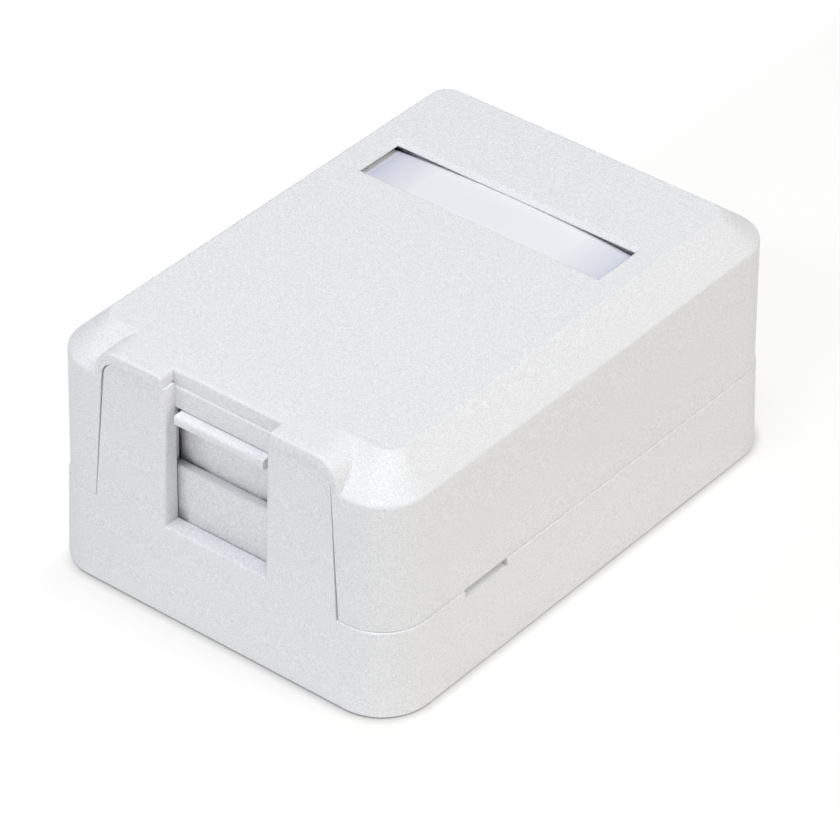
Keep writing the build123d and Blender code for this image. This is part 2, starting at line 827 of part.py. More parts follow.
def board_screw(side, name):
    """Pan head screw through the board into its boss, with a cross recess."""
    with BuildPart() as screw:
        with BuildSketch(Plane.XY.offset(board_top)):
            with Locations((side * board_screw_x, board_screw_y)):
                Circle(screw_head_radius)
        extrude(amount=screw_head_height)
        chamfer(faces().sort_by(Axis.Z)[-1].edges(), screw_head_chamfer)
        with BuildSketch(Plane.XY.offset(board_top)):
            with Locations((side * board_screw_x, board_screw_y)):
                Circle(screw_shank_radius)
        extrude(amount=screw_bottom - board_top)
        with BuildSketch(Plane.XY.offset(board_top + screw_head_height)):
            with Locations((side * board_screw_x, board_screw_y)):
                Rectangle(screw_recess_width, screw_recess_slot)
                Rectangle(screw_recess_slot, screw_recess_width)
        extrude(amount=-screw_recess_depth, mode=Mode.SUBTRACT)
    screw.part.label = name
    return screw


# Jack housing: plug cavity with latch step, comb for the spring wires, open back
jack_top = board_top + jack_height
plug_low = board_top + plug_floor
plug_top = plug_low + plug_height
carrier_front_y = jack_back_y - carrier_length
with BuildPart() as jack_housing:
    block(centred(jack_width), (jack_front_y, jack_back_y), (board_top, jack_top))
    fillet(edges().filter_by(Axis.Y).group_by(Axis.Z)[-1], jack_edge_radius)
    plug_y = (jack_front_y - overrun, jack_front_y + plug_depth)
    block(centred(plug_width), plug_y, (plug_low, plug_top), Mode.SUBTRACT)
    latch_y = (jack_front_y - overrun, jack_front_y + latch_depth)
    block(centred(latch_width), latch_y, (plug_low, plug_top + latch_step_height), Mode.SUBTRACT)
    block(centred(latch_step_width), latch_y, (plug_low, plug_top + latch_height), Mode.SUBTRACT)
    comb_y = (jack_front_y + comb_front, jack_back_y)
    with BuildSketch(Plane.XY.offset(plug_low - comb_depth)):
        with Locations(*[(x, sum(comb_y) / 2) for x in contact_x]):
            Rectangle(comb_slot_width, comb_y[1] - comb_y[0])
    extrude(amount=comb_depth + overrun, mode=Mode.SUBTRACT)
    block(
        centred(carrier_width + 2 * carrier_clearance),
        (carrier_front_y - carrier_clearance, jack_back_y + overrun),
        (board_top - overrun, board_top + carrier_height + carrier_clearance),
        Mode.SUBTRACT,
    )
jack_housing.part.label = "jack_housing"

# Carrier that holds the spring wires at the back of the jack
with BuildPart() as contact_carrier:
    block(
        centred(carrier_width),
        (carrier_front_y, jack_back_y),
        (board_top + carrier_clearance, board_top + carrier_height),
    )
    slot_y = (carrier_front_y - overrun, jack_back_y - contact_pin_setback + comb_slot_width)
    with BuildSketch(Plane.XY.offset(board_top)):
        with Locations(*[(x, sum(slot_y) / 2) for x in contact_x]):
            Rectangle(comb_slot_width, slot_y[1] - slot_y[0])
    extrude(amount=contact_run_height + 2 * contact_thickness, mode=Mode.SUBTRACT)
contact_carrier.part.label = "contact_carrier"


def contact_wire(index):
    """Spring wire: a pin through the board, a run along the jack's floor, and the sprung end."""
    run_z = board_top + contact_run_height
    pin_y = contact_pin_y[index]
    bend_y = jack_front_y + contact_front_inset
    rise = radians(contact_rise_angle)
    with BuildPart() as wire:
        with BuildSketch(Plane.YZ.offset(contact_x[index] - contact_width / 2)):
            with BuildLine():
                path = Polyline(
                    (pin_y, board_underside - contact_tail),
                    (pin_y, run_z),
                    (bend_y, run_z),
                    (
                        bend_y + contact_free_length * cos(rise),
                        run_z + contact_free_length * sin(rise),
                    ),
                )
                offset(path, contact_thickness / 2, kind=Kind.INTERSECTION, side=Side.BOTH)
            make_face()
        extrude(amount=contact_width)
    wire.part.label = f"contact_wire_{index + 1}"
    return wire


def idc_block(side, name):
    """Terminal block: wire slots across it, each over a pocket that holds one blade."""
    x = side * idc_x
    top = board_top + idc_height
    with BuildPart() as terminal:
        block(
            (x - idc_width / 2, x + idc_width / 2),
            (idc_y - idc_length / 2, idc_y + idc_length / 2),
            (board_top, top),
        )
        fillet(edges().filter_by(Axis.Z), idc_edge_radius)
        for y in idc_slot_y:
            with BuildSketch(Plane.YZ.offset(x - idc_width / 2 - overrun)):
                with BuildLine():
                    Polyline(
                        (y - idc_slot_width / 2 - idc_slot_mouth, top + idc_slot_mouth),
                        (y - idc_slot_width / 2 - idc_slot_mouth, top),
                        (y - idc_slot_width / 2, top - 2 * idc_slot_mouth),
                        (y - idc_slot_width / 2, top - idc_slot_depth),
                        (y + idc_slot_width / 2, top - idc_slot_depth),
                        (y + idc_slot_width / 2, top - 2 * idc_slot_mouth),
                        (y + idc_slot_width / 2 + idc_slot_mouth, top),
                        (y + idc_slot_width / 2 + idc_slot_mouth, top + idc_slot_mouth),
                        close=True,
                    )
                make_face()
            extrude(amount=idc_width + 2 * overrun, mode=Mode.SUBTRACT)
        with BuildSketch(Plane.XY.offset(board_top - overrun)):
            with Locations(*[(x, y) for y in idc_slot_y]):
                Rectangle(blade_thickness + 2 * blade_clearance, blade_width + 2 * blade_clearance)
        extrude(amount=idc_height - blade_top + blade_clearance + overrun, mode=Mode.SUBTRACT)
    terminal.part.label = name
    return terminal


def idc_blade(side, index, name):
    """Forked blade with a slit that takes the wire, on a tail through the board."""
    x = side * idc_x
    y = idc_slot_y[index]
    top = board_top + idc_height - blade_top
    with BuildPart() as blade:
        with BuildSketch(Plane.YZ.offset(x - blade_thickness / 2)):
            with BuildLine():
                Polyline(
                    (y - blade_width / 2, board_top + blade_clearance),
                    (y - blade_width / 2, top),
                    (y - blade_mouth / 2, top),
                    (y - blade_slit / 2, top - blade_mouth),
                    (y - blade_slit / 2, top - blade_slit_depth),
                    (y + blade_slit / 2, top - blade_slit_depth),
                    (y + blade_slit / 2, top - blade_mouth),
                    (y + blade_mouth / 2, top),
                    (y + blade_width / 2, top),
                    (y + blade_width / 2, board_top + blade_clearance),
                    (y + blade_tail_width / 2, board_top + blade_clearance),
                    (y + blade_tail_width / 2, board_underside - blade_tail),
                    (y - blade_tail_width / 2, board_underside - blade_tail),
                    (y - blade_tail_width / 2, board_top + blade_clearance),
                    close=True,
                )
            make_face()
        extrude(amount=blade_thickness)
    blade.part.label = name
    return blade


sides = {"left": -1, "right": 1}
pieces = [
    base_tray,
    top_cover,
    label_strip,
    shutter_lower_leaf,
    shutter_upper_leaf,
    shutter_guide,
    circuit_board,
    jack_housing,
    contact_carrier,
]
pieces += [contact_wire(index) for index in range(contact_count)]
for side_name, side_sign in sides.items():
    pieces.append(shutter_spring(side_sign, f"shutter_spring_{side_name}"))
    pieces.append(board_screw(side_sign, f"board_screw_{side_name}"))
    pieces.append(idc_block(side_sign, f"idc_block_{side_name}"))
    for number in range(idc_count):
        pieces.append(idc_blade(side_sign, number, f"idc_blade_{side_name}_{number + 1}"))

os.makedirs("parts", exist_ok=True)
for piece in pieces:
    export_step(piece.part, f"parts/{piece.part.label}.step")
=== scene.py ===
import json
import math

import bmesh
import bpy
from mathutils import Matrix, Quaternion, Vector


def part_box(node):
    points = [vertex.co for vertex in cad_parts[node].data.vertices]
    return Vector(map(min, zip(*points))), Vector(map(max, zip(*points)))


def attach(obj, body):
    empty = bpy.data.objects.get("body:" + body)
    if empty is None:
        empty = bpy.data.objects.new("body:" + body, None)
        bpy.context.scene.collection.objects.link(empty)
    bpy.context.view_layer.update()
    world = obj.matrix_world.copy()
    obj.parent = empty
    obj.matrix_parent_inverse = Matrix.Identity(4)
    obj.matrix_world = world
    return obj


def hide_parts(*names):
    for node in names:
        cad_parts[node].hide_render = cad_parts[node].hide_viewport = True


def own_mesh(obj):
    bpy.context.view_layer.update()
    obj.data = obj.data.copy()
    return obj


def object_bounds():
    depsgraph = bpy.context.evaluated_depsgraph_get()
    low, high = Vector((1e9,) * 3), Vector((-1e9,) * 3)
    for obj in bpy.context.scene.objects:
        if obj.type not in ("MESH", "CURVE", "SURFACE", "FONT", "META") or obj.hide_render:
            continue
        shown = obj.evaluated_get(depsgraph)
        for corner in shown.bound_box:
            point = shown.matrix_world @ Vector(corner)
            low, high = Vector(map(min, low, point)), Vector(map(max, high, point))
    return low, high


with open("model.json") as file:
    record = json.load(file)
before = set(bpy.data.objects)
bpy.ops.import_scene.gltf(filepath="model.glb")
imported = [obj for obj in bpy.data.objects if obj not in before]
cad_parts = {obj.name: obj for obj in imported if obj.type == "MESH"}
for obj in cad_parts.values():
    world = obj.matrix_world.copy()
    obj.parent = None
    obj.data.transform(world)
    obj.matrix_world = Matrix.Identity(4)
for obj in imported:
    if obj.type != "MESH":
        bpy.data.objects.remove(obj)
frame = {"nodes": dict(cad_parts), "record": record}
cadLow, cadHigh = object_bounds()
nodes = frame["nodes"]
mm = 0.001
print("frame loaded:", len(nodes), "solids")

# The camera stands where the photograph was taken from, aimed a little below the box's middle
cameraSetup = {
    "azimuth": 38.53,        # degrees round from straight in front of the port
    "elevation": 36.36,
    "roll": 0.678,
    "shiftRight": 0.198,     # mm, where the view's middle lies from the middle of the box
    "shiftUp": -4.184,
    "distance": 490.27,      # mm
    "lens": 212.4,           # mm
    "sensor": 36,            # mm
    "nearest": 0.02,         # m, nothing nearer is rendered
    "farthest": 20,
}


def makeCamera(setup):
    azimuth, elevation = math.radians(setup["azimuth"]), math.radians(setup["elevation"])
    back = Vector((
        math.sin(azimuth) * math.cos(elevation),
        -math.cos(azimuth) * math.cos(elevation),
        math.sin(elevation),
    ))
    right = Vector((math.cos(azimuth), math.sin(azimuth), 0))
    up = back.cross(right)
    middle = Vector((0, 0, (cadLow.z + cadHigh.z) / 2))
    data = bpy.data.cameras.new("camera")
    data.lens = setup["lens"]
    data.sensor_width = setup["sensor"]
    data.clip_start, data.clip_end = setup["nearest"], setup["farthest"]
    camera = bpy.data.objects.new("camera", data)
    bpy.context.collection.objects.link(camera)
    camera.location = middle + (
        right * setup["shiftRight"] + up * setup["shiftUp"] + back * setup["distance"]
    ) * mm
    camera.rotation_mode = "QUATERNION"
    turn = (-back).to_track_quat("-Z", "Y")
    camera.rotation_quaternion = turn @ Quaternion((0, 0, 1), math.radians(setup["roll"]))
    bpy.context.scene.camera = camera


makeCamera(cameraSetup)
print("camera placed")


# In these helpers a value is either a number or another node's output
def feed(tree, socket, value):
    if isinstance(value, (int, float)):
        socket.default_value = value
    else:
        tree.links.new(value, socket)


def mathOf(tree, operation, *values):
    node = tree.nodes.new("ShaderNodeMath")
    node.operation = operation
    for socket, value in zip(node.inputs, values):
        feed(tree, socket, value)
    return node.outputs[0]


def rangeOf(tree, value, start, end, atStart, atEnd, kind="LINEAR"):
    node = tree.nodes.new("ShaderNodeMapRange")
    node.interpolation_type = kind
    sockets = {"Value": value, "From Min": start, "From Max": end, "To Min": atStart, "To Max": atEnd}
    for name, part in sockets.items():
        feed(tree, node.inputs[name], part)
    return node.outputs[0]


def opennessOf(tree, reach, samples):    # 1 on open ground, less where walls stand within reach
    nearby = tree.nodes.new("ShaderNodeAmbientOcclusion")
    nearby.samples = samples
    nearby.inputs["Distance"].default_value = reach * mm
    return nearby.outputs["AO"]


def placeOf(tree):
    return tree.nodes.new("ShaderNodeTexCoord").outputs["Object"]


def acrossAndAlong(tree):
    split = tree.nodes.new("ShaderNodeSeparateXYZ")
    tree.links.new(placeOf(tree), split.inputs[0])
    return split.outputs["X"], split.outputs["Y"]


coolLight, warmLight, plainLight = (0.96, 0.99, 1.05), (1.05, 1.00, 0.90), (1.00, 1.00, 1.00)

# Each lamp's light is given as what it adds to a white level surface, where 1 renders as white
studio = {
    "floorSize": 6.0,
    "floorDrop": 0.02,           # mm below the box
    "floorColour": (0.98, 0.965, 0.935),
    "floorShadowShare": 0.26,    # how much of the wide shadow the camera sees on the white floor
    "shadowFrom": -22.0,         # mm across, no shadow is seen left of here
    "shadowFull": -17.0,         # mm across, all of it is seen right of here
    "contactReach": 1.1,         # mm that the painted contact shadow along the foot of the box reaches
    "contactPower": 0.70,        # how dark it gets
    "frontReach": 7.0,           # mm, the softer painted shade in front of the port
    "frontPower": 0.21,          # how dark it gets
    "frontFrom": -31.2,          # mm along, from here back it fades out beside the box
    "frontTo": -27.0,            # mm along, none is left from here back
    "shadeSamples": 16,
    "skyStrength": 0.18,
    "skyReflected": 0.50,        # the studio as a glossy surface sees it
    "lamps": [
        {
            "name": "left softbox",
            "place": (-0.47, -0.67, 0.57),
            "size": 0.22,
            "adds": 0.080,
            "colour": coolLight,
        },
        {
            "name": "front softbox",
            "place": (0.15, -0.69, 0.71),
            "size": 0.24,
            "adds": 0.082,
            "colour": coolLight,
        },
        {
            "name": "overhead softbox",
            "place": (0.06, -0.16, 0.98),
            "size": 0.46,
            "adds": 0.465,
            "colour": coolLight,
        },
        {
            "name": "right softbox",
            "place": (0.63, 0.11, 0.77),
            "size": 0.40,
            "adds": 0.244,
            "colour": warmLight,
        },
        {
            "name": "corner fill",
            "place": (0.65, -0.73, 0.21),
            "size": 0.16,
            "adds": 0.007,
            "colour": plainLight,
        },
    ],
}


# How much plain white the camera sees in place of the lit floor, and how bright that white is under the
# painted shadow near the box
def floorShade(tree, setup):
    across, along = acrossAndAlong(tree)
    shadowFrom, shadowFull = setup["shadowFrom"] * mm, setup["shadowFull"] * mm
    seen = rangeOf(tree, across, shadowFrom, shadowFull, 0, 1, "SMOOTHSTEP")
    frontFrom, frontTo = setup["frontFrom"] * mm, setup["frontTo"] * mm
    ahead = rangeOf(tree, along, frontFrom, frontTo, 1, 0, "SMOOTHSTEP")
    footOpen = opennessOf(tree, setup["contactReach"], setup["shadeSamples"])
    frontOpen = opennessOf(tree, setup["frontReach"], setup["shadeSamples"])
    foot = mathOf(tree, "POWER", footOpen, setup["contactPower"])
    front = mathOf(tree, "POWER", frontOpen, setup["frontPower"])
    paintedShadow = mathOf(tree, "MULTIPLY", foot, rangeOf(tree, ahead, 0, 1, 1, front))
    whiteShare = rangeOf(tree, seen, 0, 1, 1, 1 - setup["floorShadowShare"])
    brightness = rangeOf(tree, seen, 0, 1, 1, paintedShadow)
    return whiteShare, brightness


def makeFloor(setup):
    mesh = bpy.data.meshes.new("floor")
    half = setup["floorSize"] / 2
    corners = [(-half, -half, 0), (half, -half, 0), (half, half, 0), (-half, half, 0)]
    mesh.from_pydata(corners, [], [(0, 1, 2, 3)])
    floor = bpy.data.objects.new("floor", mesh)
    bpy.context.collection.objects.link(floor)
    floor.location.z = -setup["floorDrop"] * mm
    material = bpy.data.materials.new("paper floor")
    material.use_nodes = True
    tree = material.node_tree
    tree.nodes.clear()
    output = tree.nodes.new("ShaderNodeOutputMaterial")
    lit = tree.nodes.new("ShaderNodeBsdfDiffuse")
    lit.inputs["Color"].default_value = (*setup["floorColour"], 1)
    white = tree.nodes.new("ShaderNodeEmission")
    white.inputs["Color"].default_value = (1, 1, 1, 1)
    rays = tree.nodes.new("ShaderNodeLightPath")
    mix = tree.nodes.new("ShaderNodeMixShader")
    whiteShare, brightness = floorShade(tree, setup)
    # the plain white is darkened by the painted shadow near the box
    feed(tree, white.inputs["Strength"], brightness)
    feed(tree, mix.inputs[0], mathOf(tree, "MULTIPLY", rays.outputs["Is Camera Ray"], whiteShare))
    tree.links.new(lit.outputs[0], mix.inputs[1])
    tree.links.new(white.outputs[0], mix.inputs[2])
    tree.links.new(mix.outputs[0], output.inputs["Surface"])
    mesh.materials.append(material)


def makeSky(setup):
    world = bpy.data.worlds.new("studio")
    bpy.context.scene.world = world
    world.use_nodes = True
    tree = world.node_tree
    tree.nodes.clear()
    output = tree.nodes.new("ShaderNodeOutputWorld")
    dome = tree.nodes.new("ShaderNodeBackground")
    dome.inputs["Color"].default_value = (1, 1, 1, 1)
    backdrop = tree.nodes.new("ShaderNodeBackground")
    backdrop.inputs["Color"].default_value = (1, 1, 1, 1)
    backdrop.inputs["Strength"].default_value = 1.0
    rays = tree.nodes.new("ShaderNodeLightPath")
    mix = tree.nodes.new("ShaderNodeMixShader")
    glossy, passed = rays.outputs["Is Glossy Ray"], rays.outputs["Is Transmission Ray"]
    mirrored = mathOf(tree, "MAXIMUM", glossy, passed)
    strength = rangeOf(tree, mirrored, 0, 1, setup["skyStrength"], setup["skyReflected"])
    feed(tree, dome.inputs["Strength"], strength)
    feed(tree, mix.inputs[0], rays.outputs["Is Camera Ray"])
    tree.links.new(dome.outputs[0], mix.inputs[1])
    tree.links.new(backdrop.outputs[0], mix.inputs[2])
    tree.links.new(mix.outputs[0], output.inputs["Surface"])


def makeLamp(setup):
    place = Vector(setup["place"])
    data = bpy.data.lights.new(setup["name"], "AREA")
    data.shape = "SQUARE"
    data.color = setup["colour"]
    data.size = setup["size"]
    steepness = place.z / place.length
    # the power that gives a level surface at the middle of the box's foot that much light
    data.energy = math.pi ** 2 * setup["adds"] * place.length_squared / steepness
    lamp = bpy.data.objects.new(setup["name"], data)
    bpy.context.collection.objects.link(lamp)
    lamp.location = place
    lamp.rotation_mode = "QUATERNION"
    lamp.rotation_quaternion = (-place).to_track_quat("-Z", "Y")


makeFloor(studio)
makeSky(studio)
for lampSetup in studio["lamps"]:
    makeLamp(lampSetup)
bpy.context.scene.view_settings.view_transform = "Standard"
print("studio lit")


def newMaterial(name, colour, roughness, metallic=0.0):
    material = bpy.data.materials.new(name)
    material.use_nodes = True
    shader = material.node_tree.nodes["Principled BSDF"]
    shader.inputs["Base Color"].default_value = (*colour, 1)
    shader.inputs["Roughness"].default_value = roughness
    shader.inputs["Metallic"].default_value = metallic
    return material, material.node_tree, shader


noiseSpan = (0.3, 0.7)       # the values between which a noise mostly lies


def noiseFrom(tree, place, scale, detail=2.0, roughness=0.5):
    noise = tree.nodes.new("ShaderNodeTexNoise")
    noise.inputs["Scale"].default_value = scale
    noise.inputs["Detail"].default_value = detail
    noise.inputs["Roughness"].default_value = roughness
    tree.links.new(place, noise.inputs["Vector"])
    return noise


def glossFrom(tree, source, shader, smooth, rough):
    feed(tree, shader.inputs["Roughness"], rangeOf(tree, source.outputs[0], *noiseSpan, smooth, rough))


def tintFrom(tree, source, shader, dark, pale):
    ramp = tree.nodes.new("ShaderNodeValToRGB")
    for stop, share in zip(ramp.color_ramp.elements, noiseSpan):
        stop.position = share
    ramp.color_ramp.elements[0].color = (*dark, 1)
    ramp.color_ramp.elements[1].color = (*pale, 1)
    tree.links.new(source.outputs[0], ramp.inputs[0])
    tree.links.new(ramp.outputs[0], shader.inputs["Base Color"])


mouldedFinish = {
    "pale": (0.953, 0.958, 0.976),
    "dark": (0.715, 0.720, 0.734),
    "roughness": (0.28, 0.40),
    "grainScale": 7400,      # spark-eroded grain, about 0.14 mm
    "coarseScale": 1500,     # slow unevenness under it, about 0.7 mm
    "grainDepth": 0.09,      # mm
    "coarseDepth": 0.045,    # mm
    "edgeSoftness": 0.14,    # mm, rounding that the tool leaves on a sharp edge
    "edgeSamples": 6,
}
deepLeafPaintedShade = {           # the upper leaf lies deepest in the window; painted shade darkens its hollows beside the window's side walls
    **mouldedFinish,
    "lipBehind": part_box("shutter_lower_leaf")[1][1],    # m along, only the finger lip stands ahead of it
    "endFrom": 3.0,          # mm from the middle, where the painted shade of the window's side walls begins
    "endTo": 4.6,            # mm from the middle, from here out the painted shade is whole
    "recessReach": 2.0,      # mm, how near other walls must be for a hollow to get painted shade
    "paintedShadeKept": 0.20,      # share of its colour that the deepest hollows keep under the painted shade
    "recessFrom": 0.35,      # openness of the deepest hollows
    "recessTo": 0.72,        # openness from which no shade is painted
    "recessSamples": 6,
}
# the lower leaf gets a lighter painted shade at its ends beside the window's side walls
lowLeafPaintedShade = {
    **deepLeafPaintedShade,
    "lipBehind": -1.0,       # no lip stands out of the lower leaf
    "endFrom": 4.9,
    "endTo": 6.0,
    "paintedShadeKept": 0.30,
}


# Painted shade: the surface colour is darkened in hollows near other walls
def paintRecessShade(tree, shader, setup):
    surface = shader.inputs["Base Color"].links[0].from_socket
    across, along = acrossAndAlong(tree)
    openness = opennessOf(tree, setup["recessReach"], setup["recessSamples"])
    paintedTone = rangeOf(tree, openness, setup["recessFrom"], setup["recessTo"], setup["paintedShadeKept"], 1)
    # the lip and the middle of the leaf get no painted shade
    lip = mathOf(tree, "LESS_THAN", along, setup["lipBehind"])
    outward = mathOf(tree, "ABSOLUTE", across)
    middle = rangeOf(tree, outward, setup["endFrom"] * mm, setup["endTo"] * mm, 1, 0)
    spared = mathOf(tree, "MAXIMUM", lip, middle)
    shade = tree.nodes.new("ShaderNodeVectorMath")
    shade.operation = "SCALE"
    tree.links.new(surface, shade.inputs[0])
    feed(tree, shade.inputs["Scale"], mathOf(tree, "MAXIMUM", paintedTone, spared))
    tree.links.new(shade.outputs[0], shader.inputs["Base Color"])


def mouldedPlastic(name, setup):
    material, tree, shader = newMaterial(name, setup["pale"], setup["roughness"][0])
    place = placeOf(tree)
    grain = noiseFrom(tree, place, setup["grainScale"], detail=2, roughness=0.6)
    coarse = noiseFrom(tree, place, setup["coarseScale"], detail=2, roughness=0.5)
    tintFrom(tree, grain, shader, setup["dark"], setup["pale"])
    if "paintedShadeKept" in setup:
        paintRecessShade(tree, shader, setup)
    glossFrom(tree, coarse, shader, *setup["roughness"])
    edge = tree.nodes.new("ShaderNodeBevel")
    edge.samples = setup["edgeSamples"]
    edge.inputs["Radius"].default_value = setup["edgeSoftness"] * mm
    low = tree.nodes.new("ShaderNodeBump")
    low.inputs["Distance"].default_value = setup["coarseDepth"] * mm
    fine = tree.nodes.new("ShaderNodeBump")
    fine.inputs["Distance"].default_value = setup["grainDepth"] * mm
    tree.links.new(edge.outputs[0], low.inputs["Normal"])
    tree.links.new(coarse.outputs[0], low.inputs["Height"])
    tree.links.new(low.outputs[0], fine.inputs["Normal"])
    tree.links.new(grain.outputs[0], fine.inputs["Height"])
    tree.links.new(fine.outputs[0], shader.inputs["Normal"])
    return material


def bumpFrom(tree, source, shader, depth):
    bump = tree.nodes.new("ShaderNodeBump")
    bump.inputs["Distance"].default_value = depth * mm
    tree.links.new(source.outputs[0], bump.inputs["Height"])
    tree.links.new(bump.outputs[0], shader.inputs["Normal"])


paperFinish = {
    "pale": (0.820, 0.822, 0.852),
    "dark": (0.800, 0.802, 0.832),
    "paintedTones": [               # mm across and the painted tone there: painted shade where its ends bow down into the pocket, painted light at the far left end under the roof
        (-15.4, (1.15, 1.15, 1.12)),
        (-14.6, (0.72, 0.74, 0.83)),
        (-9.0, (1.0, 1.0, 1.0)),
        (9.0, (1.0, 1.0, 1.0)),
        (16.4, (0.68, 0.72, 0.81)),
    ],
    "crownLift": 0.11,       # mm that the strip is raised, so its middle lies close under the roof
    "roughness": 0.62,
    "fibreScale": 2600,
    "fibreDepth": 0.004,     # mm
}


def labelPaper(setup):
    material, tree, shader = newMaterial("label card", setup["pale"], setup["roughness"])
    fibre = noiseFrom(tree, placeOf(tree), setup["fibreScale"], detail=4, roughness=0.6)
    tintFrom(tree, fibre, shader, setup["dark"], setup["pale"])
    paper = shader.inputs["Base Color"].links[0].from_socket
    first, last = setup["paintedTones"][0][0], setup["paintedTones"][-1][0]
    # painted shade and painted light along the strip, multiplied into the paper's colour
    paintedTones = tree.nodes.new("ShaderNodeValToRGB")
    stops = paintedTones.color_ramp.elements
    while len(stops) < len(setup["paintedTones"]):
        stops.new(0.5)
    for stop, (reached, paintedTone) in zip(stops, setup["paintedTones"]):
        stop.position = (reached - first) / (last - first)
        stop.color = (*paintedTone, 1)
    blend = tree.nodes.new("ShaderNodeVectorMath")
    blend.operation = "MULTIPLY"
    across = acrossAndAlong(tree)[0]
    feed(tree, paintedTones.inputs[0], rangeOf(tree, across, first * mm, last * mm, 0, 1))
    tree.links.new(paper, blend.inputs[0])
    tree.links.new(paintedTones.outputs["Color"], blend.inputs[1])
    tree.links.new(blend.outputs[0], shader.inputs["Base Color"])
    bumpFrom(tree, fibre, shader, setup["fibreDepth"])
    return material


boardFinish = {
    "pale": (0.035, 0.20, 0.085),
    "dark": (0.02, 0.145, 0.06),
    "roughness": 0.28,
    "weaveScale": 600,
    "weaveDepth": 0.01,
    "lacquer": 0.4,
    "lacquerRoughness": 0.15,
}


def boardLaminate(setup):
    material, tree, shader = newMaterial("green board", setup["pale"], setup["roughness"])
    cloud = noiseFrom(tree, placeOf(tree), setup["weaveScale"], detail=3)
    tintFrom(tree, cloud, shader, setup["dark"], setup["pale"])
    bumpFrom(tree, cloud, shader, setup["weaveDepth"])
    shader.inputs["Coat Weight"].default_value = setup["lacquer"]
    shader.inputs["Coat Roughness"].default_value = setup["lacquerRoughness"]
    return material


smoothFinishes = {
    "jack_plastic": {
        "pale": (0.030, 0.030, 0.033),
        "dark": (0.020, 0.020, 0.022),
        "roughness": (0.28, 0.40),
        "depth": 0.003,
    },
    "terminal_plastic": {
        "pale": (0.80, 0.79, 0.75),
        "dark": (0.76, 0.75, 0.71),
        "roughness": (0.30, 0.42),
        "depth": 0.003,
    },
    "guide_plastic": {
        "pale": (0.80, 0.805, 0.815),
        "dark": (0.77, 0.775, 0.785),
        "roughness": (0.42, 0.52),
        "depth": 0.004,
    },
}
cloudScale = 1400            # faint unevenness of smooth mouldings, about 0.7 mm


def smoothPlastic(name, setup):
    material, tree, shader = newMaterial(name, setup["pale"], setup["roughness"][0])
    cloud = noiseFrom(tree, placeOf(tree), cloudScale, detail=3)
    tintFrom(tree, cloud, shader, setup["dark"], setup["pale"])
    glossFrom(tree, cloud, shader, *setup["roughness"])
    bumpFrom(tree, cloud, shader, setup["depth"])
    return material


metalFinishes = {
    "contact_metal": {
        "pale": (0.86, 0.62, 0.27),
        "dark": (0.78, 0.54, 0.22),
        "roughness": (0.16, 0.28),
        "stretch": (1, 8, 1),
    },
    "blade_metal": {
        "pale": (0.74, 0.73, 0.70),
        "dark": (0.62, 0.61, 0.59),
        "roughness": (0.24, 0.40),
        "stretch": (1, 1, 8),
    },
    "screw_steel": {
        "pale": (0.70, 0.71, 0.73),
        "dark": (0.56, 0.57, 0.60),
        "roughness": (0.22, 0.36),
        "stretch": (1, 1, 1),
    },
    "spring_steel": {
        "pale": (0.62, 0.63, 0.66),
        "dark": (0.50, 0.51, 0.53),
        "roughness": (0.20, 0.32),
        "stretch": (1, 1, 1),
    },
}
streakScale, streakDepth = 3000, 0.002    # drawing marks, depth in mm


def drawnMetal(name, setup):
    material, tree, shader = newMaterial(name, setup["pale"], setup["roughness"][0], 1.0)
    stretch = tree.nodes.new("ShaderNodeMapping")
    stretch.inputs["Scale"].default_value = tuple(1 / share for share in setup["stretch"])
    tree.links.new(placeOf(tree), stretch.inputs["Vector"])
    streak = noiseFrom(tree, stretch.outputs[0], streakScale)
    tintFrom(tree, streak, shader, setup["dark"], setup["pale"])
    glossFrom(tree, streak, shader, *setup["roughness"])
    bumpFrom(tree, streak, shader, streakDepth)
    return material


finishes = {
    "housing_plastic": mouldedPlastic("moulded housing", mouldedFinish),
    "label_paper": labelPaper(paperFinish),
    "board_laminate": boardLaminate(boardFinish),
}
for slotName, setup in smoothFinishes.items():
    finishes[slotName] = smoothPlastic(slotName.replace("_", " "), setup)
for slotName, setup in metalFinishes.items():
    finishes[slotName] = drawnMetal(slotName.replace("_", " "), setup)

slotOf = {entry["node"]: entry["material_slot"] for entry in frame["record"]["subparts"]}
for name, node in nodes.items():
    node.data.materials[0] = finishes[slotOf[name]]
# both shutter leaves carry painted shade in their hollows beside the window's side walls
nodes["shutter_upper_leaf"].data.materials[0] = mouldedPlastic("deep set leaf", deepLeafPaintedShade)
nodes["shutter_lower_leaf"].data.materials[0] = mouldedPlastic("low set leaf", lowLeafPaintedShade)
print("finishes given to", len(nodes), "solids")


def raiseStrip(setup):
    mesh = nodes["label_strip"].data.copy()
    for corner in mesh.vertices:
        corner.co.z += setup["crownLift"] * mm
    strip = bpy.data.objects.new("label_strip_bowed", mesh)
    bpy.context.collection.objects.link(strip)
    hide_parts("label_strip")
    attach(strip, "cover")


raiseStrip(paperFinish)
print("label strip laid in its pocket")

springShape = {
    "turns": 7,
    "endTurns": 1.0,
    "endPitch": 1.05,        # wire thicknesses from turn to turn where the ends are closed
    "wire": 0.24,            # mm
    "keep": 0.26,            # share of its length that is left with the shutter wide open
    "stepsPerTurn": 24,
    "sides": 10,
}


